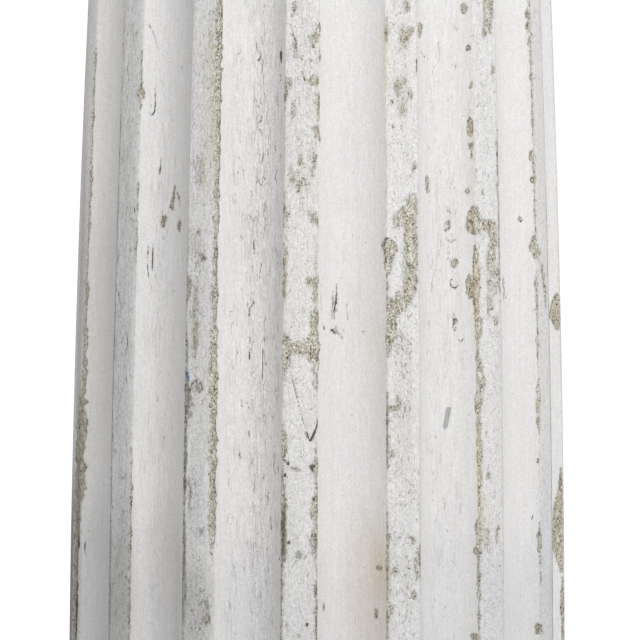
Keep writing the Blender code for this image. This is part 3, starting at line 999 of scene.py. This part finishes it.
paintFinish = {
    "paint": rgb(0.822, 0.812, 0.806),
    "undercoat": rgb(0.66, 0.61, 0.51),
    "speck": rgb(0.22, 0.21, 0.19),
    "crack": rgb(0.085, 0.075, 0.06),
    "timber": [(0.37, (0.10, 0.085, 0.06)), (0.44, (0.39, 0.35, 0.27)), (0.49, (0.58, 0.54, 0.445)),
               (0.54, (0.71, 0.675, 0.58)), (0.60, (0.95, 0.93, 0.875))],
    "flake": rgb(0.90, 0.86, 0.79),
    # arris: dark colour of the arris lines and smears, painted shade and dirt
    "arris": rgb(0.17, 0.155, 0.125),
    "mark": rgb(0.43, 0.425, 0.425),
    "ragged": 3.2,                     # how far noise breaks up a paint edge
    "raggedFine": 3.4,
    "paintThick": 0.55,                # mm, for the bump at a paint edge
    "crust": 0.62,                     # mm of relief in crusted paint, from the noise's least to its most
    "plate": 0.26,                     # mm that the thicker layers of paint stand up
    "grain": 1.0,                      # mm of relief in bare timber
    "roughPaint": 0.6,
    "roughTimber": 0.92,
    "noises": {                        # lumps to the metre across and up, detail, seed
        "fine": ((1150, 900), 2, 2.0),
        "crumb": ((520, 380), 3, 5.0),
        "fleck": ((700, 480), 2, 7.0),
        "streak": ((520, 14), 3, 9.0),
        "fineStreak": ((1400, 70), 2, 14.0),
        "mottle": ((60, 22), 4, 21.0),
        "crust": ((620, 330), 4, 25.0),
        "chip": ((500, 330), 3, 95.0),
        "speck": ((430, 260), 3, 33.0),
        "dot": ((880, 700), 1, 40.0),
        "vein": ((300, 62), 1, 51.0),
        "veinGate": ((240, 75), 1, 57.0),
        "curl": ((190, 70), 2, 60.0),
        "hair": ((760, 26), 1, 81.0),
        "hairGate": ((170, 34), 1, 85.0),
        "plateShadeGate": ((260, 170), 1, 99.0),
        "grain": ((1050, 700), 5, 64.0),
        "coarseGrain": ((300, 170), 2, 68.0),
    },
}


def makePaint():
    look = paintFinish
    material, wire = startFinish("wornOffWhitePaint")
    place = wire.node("ShaderNodeTexCoord", None, None, out="Object")

    def measuredAt(name, out="Fac"):
        return wire.node("ShaderNodeAttribute", {"attribute_name": name}, None, out=out)

    def noise(name):
        return noiseOf(wire, place, *look["noises"][name])

    # Where the paint is gone: placed wear with a ragged edge, and grains of timber where it is worn thin
    fine = noise("fine")
    crumb = noise("crumb")
    crusty = measuredAt("crusty")
    ragged = ((crumb - 0.5) * look["ragged"] + (fine - 0.5) * look["raggedFine"]) * (0.25 + crusty * 0.75)
    worn = measuredAt("bare")
    bare = (worn * 0.55).bigger(measuredAt("gritty") * 2.0 - 2.1) + ragged
    fleck = noise("fleck")
    leftOver = fleck.rise(0.57, 0.62) * (1 - worn.rise(1.8, 4.0) * 0.75)
    lost = bare.rise(-0.05, 0.16) * (1 - leftOver)

    # Paint: streaks from the brush, faint mottling, crusts
    crazed = measuredAt("crazed")
    streak = noise("streak")
    fineStreak = noise("fineStreak")
    mottle = noise("mottle")
    chip = noise("chip")
    plate = chip.rise(0.505, 0.53)                      # thicker layers of paint with sharp edges
    shade = 0.99 + crusty * 0.05 + (streak - 0.5) * 0.13 + (mottle - 0.5) * 0.06
    shade = shade + (fineStreak - 0.5) * (crazed * 0.26 + 0.20)
    shade = shade + (fine - 0.5) * (crusty * 0.42 + 0.28) + (crumb - 0.5) * (crusty * 0.28 + 0.10)
    grey = wire.node("ShaderNodeCombineColor", None, {"Red": shade, "Green": shade, "Blue": shade})
    colour = blendOf(wire, 1.0, look["paint"], grey, "MULTIPLY")

    grime = measuredAt("grime")
    specks = (noise("speck") + grime * 0.15).rise(0.70, 0.78)
    dots = (noise("dot") + crusty * 0.055 + grime * 0.05).rise(0.765, 0.80)
    specks = specks.bigger(dots)
    colour = blendOf(wire, specks * 0.5 + grime * mottle.rise(0.45, 0.62) * 0.10, colour, look["speck"])

    # Fine cracks that run up the paint, and painted shadow along the edges of the paint's thicker layers
    crazing = 1 - (noise("vein") - 0.5).size().rise(0.003, 0.018)
    crazing = crazing * (noise("veinGate") + crazed * 0.14).rise(0.66, 0.73)
    hair = 1 - (noise("hair") - 0.5).size().rise(0.002, 0.026)
    hair = hair * noise("hairGate").rise(0.52, 0.64) * 0.45
    crazing = crazing.bigger(hair) * crazed.rise(0.0, 0.6)
    plateEdgeShade = 1 - (chip - 0.517).size().rise(0.002, 0.020)  # painted shadow along the thicker layers' edges, here and there
    plateEdgeShade = plateEdgeShade * noise("plateShadeGate").rise(0.59, 0.66) * crusty.rise(0.3, 1.0)
    line = (measuredAt("crack") + (fine - 0.5) * 1.0 + (crumb - 0.5) * 0.8).rise(-0.26, 0.14)
    cracksAndEdgeShade = line.bigger(crazing * 0.68).bigger(plateEdgeShade * 0.58)
    marked = (measuredAt("mark") + (crumb - 0.5) * 0.5).rise(-0.1, 0.25)
    colour = blendOf(wire, marked * 0.9, colour, look["mark"])

    # Undercoat shows along the arrises and round the bare timber
    atArris = 1 - (measuredAt("fromArris") + (crumb - 0.5) * 3.2 + (mottle - 0.5) * 2.0).rise(0.1, 1.0)
    thin = (bare.rise(-0.5, -0.05) * 0.5).bigger(atArris * 0.5)
    colour = blendOf(wire, thin, colour, look["undercoat"])
    # painted shade along the turned-away fillet edges, with dirt from the smears and on C's left edge
    dirtAndArrisShade = (measuredAt("edge") + (crumb - 0.5) * 2.8 + (fine - 0.5) * 2.8).rise(-0.5, 1.3)
    dirtAndArrisShade = dirtAndArrisShade * (0.55 + fleck.rise(0.38, 0.60) * 0.5)
    colour = blendOf(wire, dirtAndArrisShade * 0.72, colour, look["arris"])
    colour = blendOf(wire, cracksAndEdgeShade * 0.96, colour, look["crack"])

    grain = noise("grain")
    timber = wire.node("ShaderNodeValToRGB", {"stops": look["timber"]},
                       {"Fac": grain * 0.70 + noise("coarseGrain") * 0.30})
    inFlute = 1 - crusty.rise(0.3, 0.9)
    timber = blendOf(wire, inFlute * 0.9, timber, blendOf(wire, 1.0, timber, look["flake"], "MULTIPLY"))
    # painted shadow: a dark outline round the paint's edge where bare timber shows in the flutes
    rim = bare.rise(-0.05, 0.05) * (1 - bare.rise(0.08, 0.34))
    timber = blendOf(wire, rim * inFlute * 0.75, timber, look["crack"])
    colour = blendOf(wire, lost, colour, timber)
    colour = blendOf(wire, lost * dirtAndArrisShade * 0.5, colour, look["arris"])
    colour = blendOf(wire, lost * line * 0.85, colour, look["crack"])
    colour = blendOf(wire, 1.0, colour, measuredAt("tint", "Vector"), "MULTIPLY")

    roughness = look["roughPaint"] + lost * (look["roughTimber"] - look["roughPaint"])
    roughness = roughness + (mottle - 0.5) * 0.1
    painted = ((noise("crust") - 0.5) * crusty * look["crust"] + plate * crusty * look["plate"]
               + (streak - 0.5) * 0.22 + (fineStreak - 0.5) * (crazed * 0.35 + 0.18)
               + (mottle - 0.5) * 0.6 + (noise("curl") - 0.5) * crazed * 1.6
               + (fine - 0.5) * (crusty * 0.26 + 0.14) - cracksAndEdgeShade * 0.4 - specks * 0.12)
    height = (1 - lost) * (painted + look["paintThick"]) + lost * (grain - 0.5) * look["grain"]
    normal = wire.node("ShaderNodeBump", None, {"Strength": 1.0, "Distance": 0.001, "Height": height})
    finishSurface(wire, colour, roughness, normal)
    return material


sawnFinish = {
    "heartAside": (0.021, -0.013),        # the pith isn't in the middle of the shaft
    "ringWidth": 6.5,                     # mm
    "early": rgb(0.56, 0.47, 0.35),
    "late": rgb(0.43, 0.34, 0.23),
    "weathered": rgb(0.50, 0.47, 0.41),
    "check": rgb(0.07, 0.055, 0.04),
    "checks": 9,                          # cracks that run out from the pith
    "checkDeep": 0.8,                     # mm
    "sawMarks": 620,                      # radians to the metre
    "sawDeep": 0.02,
}


def makeSawnTimber():
    look = sawnFinish
    material, wire = startFinish("sawnTimberEnd")
    place = wire.node("ShaderNodeTexCoord", None, None, out="Object")
    aside = wire.node("ShaderNodeMapping", None,
                      {"Vector": place, "Location": (-look["heartAside"][0], -look["heartAside"][1], 0)})
    wobble = noiseOf(wire, place, (11, 11), 2, 3.0)
    fine = noiseOf(wire, place, (900, 900), 2, 8.0)
    flat = wire.node("ShaderNodeVectorMath", {"operation": "MULTIPLY"}, {0: aside, 1: (1, 1, 0)})
    far = wire.node("ShaderNodeVectorMath", {"operation": "LENGTH"}, {0: flat}, out="Value")
    rings = (far + (wobble - 0.5) * 0.016) * (1000 / look["ringWidth"])
    within = wire.maths("FRACT", rings)
    late = within.rise(0.35, 0.75) * (1 - within.rise(0.78, 1.0))
    colour = blendOf(wire, late * 0.75, look["early"], look["late"])
    weather = noiseOf(wire, place, (26, 26), 3, 12.0)
    colour = blendOf(wire, weather.rise(0.35, 0.7) * 0.6, colour, look["weathered"])
    alongX = wire.node("ShaderNodeSeparateXYZ", None, {0: flat}, out="X")
    alongY = wire.node("ShaderNodeSeparateXYZ", None, {0: flat}, out="Y")
    bearing = wire.maths("ARCTAN2", alongY, alongX) + (wobble - 0.5) * 1.1
    ray = wire.maths("FRACT", bearing * (look["checks"] / math.tau))
    length = noiseOf(wire, place, (5, 5), 0, 30.0)
    check = 1 - ((ray - 0.5).size() * far).rise(0.0001, 0.00045)
    check = check * far.rise(0.008, 0.03) * (1 - (far + (length - 0.5) * 0.62).rise(0.085, 0.10))
    colour = blendOf(wire, check * 0.9, colour, look["check"])
    saw = noiseOf(wire, place, (12, 12), 1, 44.0)
    across = wire.node("ShaderNodeSeparateXYZ", None, {0: place}, out="X")
    marks = wire.maths("SINE", across * look["sawMarks"] + saw * 14)
    height = marks * look["sawDeep"] + (fine - 0.5) * 0.25 + late * 0.05 - check * look["checkDeep"]
    normal = wire.node("ShaderNodeBump", None, {"Strength": 1.0, "Distance": 0.001, "Height": height})
    finishSurface(wire, colour, 0.86 + (weather - 0.5) * 0.1, normal)
    return material


paintedShaft.data.materials.append(makePaint())
paintedShaft.data.materials.append(makeSawnTimber())
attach(paintedShaft, "root")
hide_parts("shaft")
print("shaft finished")


# A pale floor, soft light from the right of the camera, and a white surround

studio = {
    "floorRadius": 0.55,
    "floorDrop": 0.0005,                  # below the shaft's underside, so that the two don't flicker
    "floor": rgb(0.76, 0.76, 0.755),
    "surround": (0.73, 0.35),             # brightness of the surround, from below and from above
    "key": (20, 1.5, 2.0, 1.2, 21.6),     # degrees round to the right, height, distance, size, power
    "side": (80, 0.2, 2.0, 1.2, 3.4),
    "back": (180, 1.55, 2.6, 1.6, 14),
}


def makeFloor():
    bm = bmesh.new()
    bmesh.ops.create_circle(bm, cap_ends=True, segments=128, radius=studio["floorRadius"])
    mesh = bpy.data.meshes.new("paleFloor")
    bm.to_mesh(mesh)
    bm.free()
    material, wire = startFinish("paleFloor")
    surface = wire.node("ShaderNodeBsdfPrincipled", None,
                        {"Base Color": studio["floor"], "Roughness": 0.8})
    wire.node("ShaderNodeOutputMaterial", None, {"Surface": surface})
    mesh.materials.append(material)
    floor = bpy.data.objects.new("paleFloor", mesh)
    floor.location.z = -studio["floorDrop"]
    bpy.context.scene.collection.objects.link(floor)


def makeLight(name):
    around, height, distance, size, power = studio[name]
    lamp = bpy.data.lights.new(name, "AREA")
    lamp.shape = "SQUARE"
    lamp.size, lamp.energy = size, power
    light = bpy.data.objects.new(name, lamp)
    turn = math.radians(around)
    light.location = (distance * math.sin(turn), -distance * math.cos(turn), height)
    aim = Vector((0, 0, shaftForm["length"] / 2)) - light.location
    light.rotation_euler = aim.to_track_quat("-Z", "Y").to_euler()
    bpy.context.scene.collection.objects.link(light)


def makeSurround():
    world = bpy.data.worlds.new("whiteSurround")
    world.use_nodes = True
    world.node_tree.nodes.clear()
    wire = Wire(world.node_tree)
    seen = wire.node("ShaderNodeLightPath", None, None, out="Is Camera Ray")
    way = wire.node("ShaderNodeTexCoord", None, None, out="Generated")
    upward = wire.node("ShaderNodeSeparateXYZ", None, {0: way}, out="Z")
    below, above = studio["surround"]
    lit = below + upward.rise(-0.5, 0.6) * (above - below)
    strength = lit + seen * (1.05 - lit)
    shine = wire.node("ShaderNodeBackground", None, {"Color": rgb(1, 1, 1), "Strength": strength})
    wire.node("ShaderNodeOutputWorld", None, {"Surface": shine})
    bpy.context.scene.world = world


makeFloor()
for lightName in ("key", "side", "back"):
    makeLight(lightName)
makeSurround()
bpy.context.scene.view_settings.view_transform = "Standard"
print("studio lit")
